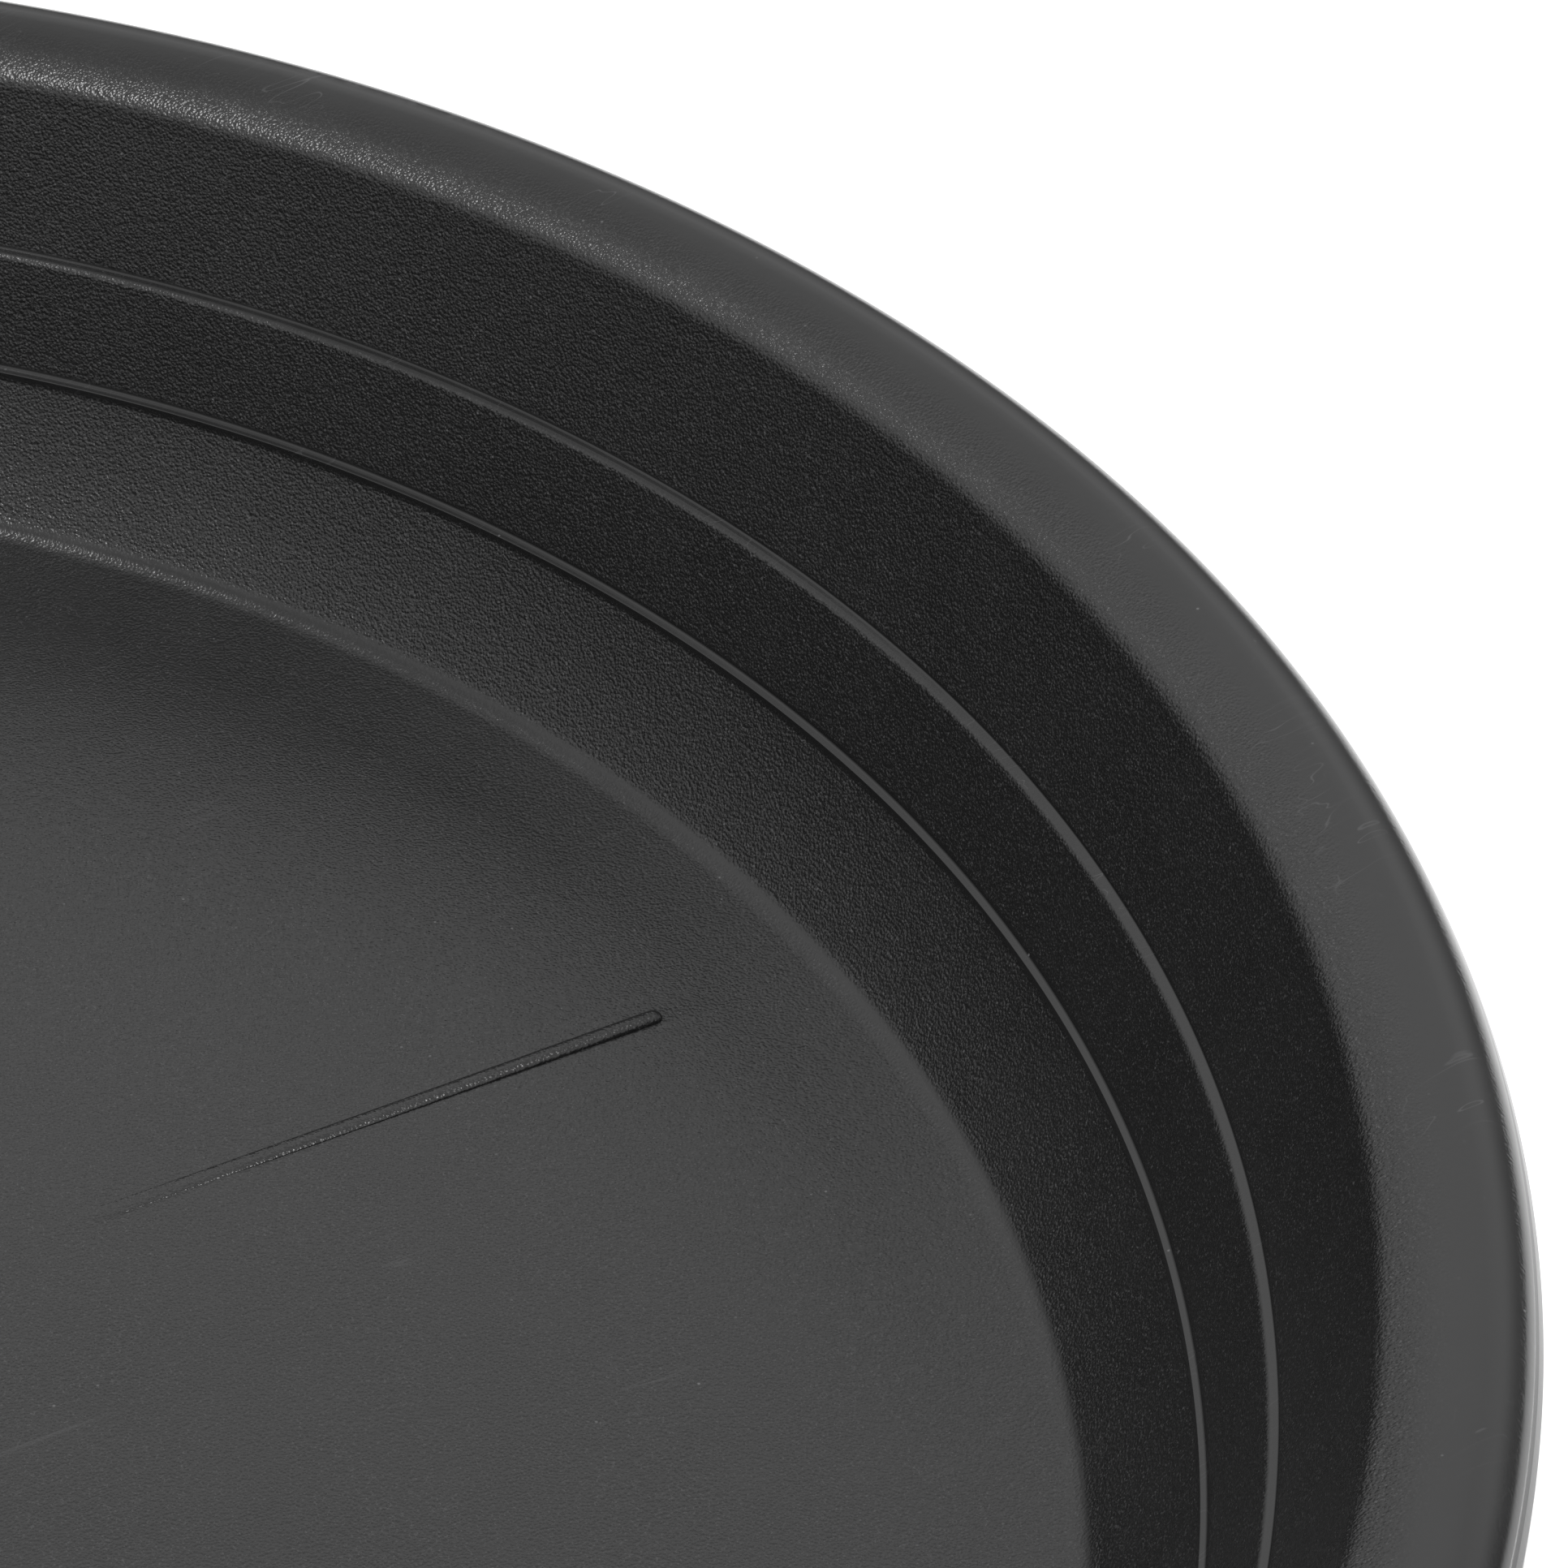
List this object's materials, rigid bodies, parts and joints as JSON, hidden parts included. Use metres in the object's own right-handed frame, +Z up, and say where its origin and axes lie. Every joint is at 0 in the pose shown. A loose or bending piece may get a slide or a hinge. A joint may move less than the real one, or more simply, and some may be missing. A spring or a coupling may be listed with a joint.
{
  "type": "oil drain pan",
  "caption": "Low round stepped drain pan with a rolled rim, a capped pour neck with a strainer, and folding wire handles with grips.",
  "frame": {"origin": "middle of the flat bottom, on the surface that the pan rests on", "axes": "+Z up out of the pan; the pour neck points along -Y; the two handles are at +X and -X"},
  "size_m": [0.5999, 0.6325, 0.0755],
  "materials": {
    "pan_plastic": "moulded black plastic with a fine leather grain on floor and walls, smooth on ledges and rim",
    "handle_wire": "zinc plated drawn wire",
    "grip_plastic": "moulded black plastic, satin",
    "cap_plastic": "moulded black plastic, satin",
    "seal_rubber": "smooth black rubber",
    "strainer_plastic": "moulded dark plastic, satin"
  },
  "bodies": {
    "pan": {"pan_body": "pan_plastic", "spout_strainer": "strainer_plastic"},
    "right_handle": {"right_bail": "handle_wire"},
    "right_handle_grip": {"right_grip": "grip_plastic"},
    "left_handle": {"left_bail": "handle_wire"},
    "left_handle_grip": {"left_grip": "grip_plastic"},
    "seal": {"cap_seal": "seal_rubber"},
    "cap": {"spout_cap": "cap_plastic"}
  },
  "joints": [
    {"name": "right_bail_swing", "type": "hinge", "parent": "pan", "child": "right_handle", "pos_m": [0.283, 0, 0.056], "axis": [0, -1, 0], "range_deg": [-20, 110]},
    {"name": "right_grip_turn", "type": "hinge", "parent": "right_handle", "child": "right_handle_grip", "pos_m": [0.283, 0, 0.011], "axis": [0, 1, 0], "continuous": true},
    {"name": "left_bail_swing", "type": "hinge", "parent": "pan", "child": "left_handle", "pos_m": [-0.283, 0, 0.056], "axis": [0, 1, 0], "range_deg": [-20, 110]},
    {"name": "left_grip_turn", "type": "hinge", "parent": "left_handle", "child": "left_handle_grip", "pos_m": [-0.283, 0, 0.011], "axis": [0, 1, 0], "continuous": true},
    {"name": "cap_pull", "type": "slide", "parent": "pan", "child": "seal", "axis": [0, -1, 0], "range_m": [0, 0.06]},
    {"name": "cap_turn", "type": "hinge", "parent": "seal", "child": "cap", "pos_m": [0, -0.325, 0.043], "axis": [0, -1, 0], "continuous": true}
  ]
}
